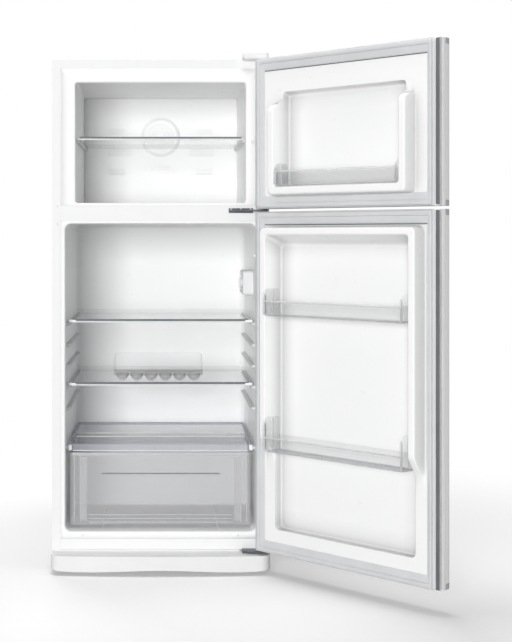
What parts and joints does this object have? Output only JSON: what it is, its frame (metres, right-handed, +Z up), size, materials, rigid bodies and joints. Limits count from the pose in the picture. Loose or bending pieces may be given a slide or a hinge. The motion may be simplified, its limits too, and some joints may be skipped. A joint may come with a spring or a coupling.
{
  "type": "top freezer refrigerator",
  "caption": "Free-standing two-door refrigerator with the freezer on top, shown with both doors open on their right-hand hinges.",
  "frame": {"origin": "on the floor, midway between the cabinet's sides, in the plane of the front frame that the doors close on", "axes": "+X towards the hinge side, +Y towards the back, +Z up"},
  "size_m": [1.1748, 1.2132, 1.6613],
  "materials": {
    "white_steel": "glossy white powder paint",
    "foam": "rigid polyurethane foam",
    "liner_plastic": "vacuum-formed white polystyrene",
    "zinc_steel": "galvanised",
    "plinth_plastic": "moulded, satin",
    "foot_plastic": "moulded",
    "roller_plastic": "moulded",
    "black_steel": "satin black paint",
    "black_rubber": "matt",
    "black_plastic": "moulded",
    "grey_plastic": "moulded",
    "aluminium_fins": "mill finish",
    "shelf_glass": "tempered, clear",
    "shelf_trim_plastic": "moulded",
    "clear_plastic": "clear polystyrene",
    "cover_plastic": "translucent, faintly blue",
    "switch_plastic": "moulded",
    "lamp_glass": "frosted bulb and holder",
    "hinge_steel": "dark grey",
    "cap_plastic": "moulded, light grey",
    "grip_plastic": "dark moulded channel",
    "gasket_rubber": "light grey vinyl"
  },
  "bodies": {
    "cabinet": {"outer_shell": "white_steel", "cabinet_foam": "foam", "freezer_liner": "liner_plastic", "fridge_liner": "liner_plastic", "divider_bar": "white_steel", "bottom_rail": "white_steel", "deck_panel": "zinc_steel", "back_panel": "zinc_steel", "base_frame": "zinc_steel", "plinth": "plinth_plastic", "roller_axles": "zinc_steel", "compressor_plate": "zinc_steel", "compressor_grommets": "black_rubber", "compressor": "black_steel", "start_relay": "black_plastic", "drain_pan": "grey_plastic", "condenser_tube": "black_steel", "condenser_wires": "black_steel", "condenser_clips": "black_plastic", "cord_gland": "black_rubber", "evaporator": "aluminium_fins", "air_panel": "liner_plastic", "fan_motor": "grey_plastic", "control_box": "liner_plastic", "lamp": "lamp_glass", "top_hinge": "hinge_steel", "top_hinge_cover": "plinth_plastic", "middle_hinge": "hinge_steel", "bottom_hinge": "hinge_steel"},
    "left_foot": {"left_foot": "foot_plastic"},
    "right_foot": {"right_foot": "foot_plastic"},
    "left_roller": {"left_roller": "roller_plastic"},
    "right_roller": {"right_roller": "roller_plastic"},
    "fan": {"fan": "switch_plastic"},
    "freezer_shelf": {"freezer_shelf": "clear_plastic"},
    "upper_shelf": {"upper_shelf_glass": "shelf_glass", "upper_shelf_trim": "shelf_trim_plastic"},
    "lower_shelf": {"lower_shelf_glass": "shelf_glass", "lower_shelf_trim": "shelf_trim_plastic"},
    "egg_tray": {"egg_tray": "clear_plastic"},
    "drawer_cover": {"drawer_cover": "cover_plastic"},
    "vegetable_drawer": {"vegetable_drawer": "clear_plastic"},
    "control_knob": {"control_knob": "switch_plastic"},
    "light_switch": {"light_switch": "switch_plastic"},
    "fan_switch": {"fan_switch": "switch_plastic"},
    "freezer_door": {"freezer_door_skin": "white_steel", "freezer_door_caps": "cap_plastic", "freezer_door_grip": "grip_plastic", "freezer_door_foam": "foam", "freezer_door_liner": "liner_plastic", "freezer_door_gasket": "gasket_rubber"},
    "freezer_door_bin": {"freezer_door_bin": "clear_plastic"},
    "fridge_door": {"fridge_door_skin": "white_steel", "fridge_door_caps": "cap_plastic", "fridge_door_grip": "grip_plastic", "fridge_door_foam": "foam", "fridge_door_liner": "liner_plastic", "fridge_door_gasket": "gasket_rubber"},
    "upper_bin": {"fridge_door_upper_bin": "clear_plastic"},
    "lower_bin": {"fridge_door_lower_bin": "clear_plastic"}
  },
  "joints": [
    {"name": "freezer_door_hinge", "type": "hinge", "parent": "cabinet", "child": "freezer_door", "pos_m": [0.332, -0.034, 1.6], "axis": [0, 0, 1], "range_deg": [-134, 2]},
    {"name": "fridge_door_hinge", "type": "hinge", "parent": "cabinet", "child": "fridge_door", "pos_m": [0.332, -0.034, 0.6], "axis": [0, 0, 1], "range_deg": [-134, 2]},
    {"name": "vegetable_drawer_slide", "type": "slide", "parent": "cabinet", "child": "vegetable_drawer", "axis": [0, -1, 0], "range_m": [0, 0.36]},
    {"name": "drawer_cover_slide", "type": "slide", "parent": "cabinet", "child": "drawer_cover", "axis": [0, -1, 0], "range_m": [0, 0.3]},
    {"name": "upper_shelf_slide", "type": "slide", "parent": "cabinet", "child": "upper_shelf", "axis": [0, -1, 0], "range_m": [0, 0.3]},
    {"name": "lower_shelf_slide", "type": "slide", "parent": "cabinet", "child": "lower_shelf", "axis": [0, -1, 0], "range_m": [0, 0.3]},
    {"name": "egg_tray_lift", "type": "slide", "parent": "lower_shelf", "child": "egg_tray", "axis": [0, 0, 1], "range_m": [0, 0.06]},
    {"name": "freezer_shelf_slide", "type": "slide", "parent": "cabinet", "child": "freezer_shelf", "axis": [0, -1, 0], "range_m": [0, 0.3]},
    {"name": "freezer_bin_lift", "type": "slide", "parent": "freezer_door", "child": "freezer_door_bin", "axis": [0, 0, 1], "range_m": [0, 0.05]},
    {"name": "upper_bin_lift", "type": "slide", "parent": "fridge_door", "child": "upper_bin", "axis": [0, 0, 1], "range_m": [0, 0.05]},
    {"name": "lower_bin_lift", "type": "slide", "parent": "fridge_door", "child": "lower_bin", "axis": [0, 0, 1], "range_m": [0, 0.05]},
    {"name": "control_knob_turn", "type": "hinge", "parent": "cabinet", "child": "control_knob", "pos_m": [0.2755, 0.168, 0.92], "axis": [-1, 0, 0], "range_deg": [0, 270]},
    {"name": "light_switch_press", "type": "slide", "parent": "cabinet", "child": "light_switch", "axis": [1, 0, 0], "range_m": [0, 0.005], "stiffness_N_per_m": 300},
    {"name": "fan_switch_press", "type": "slide", "parent": "cabinet", "child": "fan_switch", "axis": [0, 1, 0], "range_m": [0, 0.008], "stiffness_N_per_m": 300},
    {"name": "fan_spin", "type": "hinge", "parent": "cabinet", "child": "fan", "pos_m": [0, 0.53, 1.432], "axis": [0, 1, 0], "continuous": true},
    {"name": "left_roller_spin", "type": "hinge", "parent": "cabinet", "child": "left_roller", "pos_m": [-0.308, 0.605, 0.018], "axis": [1, 0, 0], "continuous": true},
    {"name": "right_roller_spin", "type": "hinge", "parent": "cabinet", "child": "right_roller", "pos_m": [0.308, 0.605, 0.018], "axis": [1, 0, 0], "continuous": true},
    {"name": "left_foot_screw", "type": "slide", "parent": "cabinet", "child": "left_foot", "axis": [0, 0, 1], "range_m": [-0.012, 0]},
    {"name": "right_foot_screw", "type": "slide", "parent": "cabinet", "child": "right_foot", "axis": [0, 0, 1], "range_m": [-0.012, 0]}
  ]
}
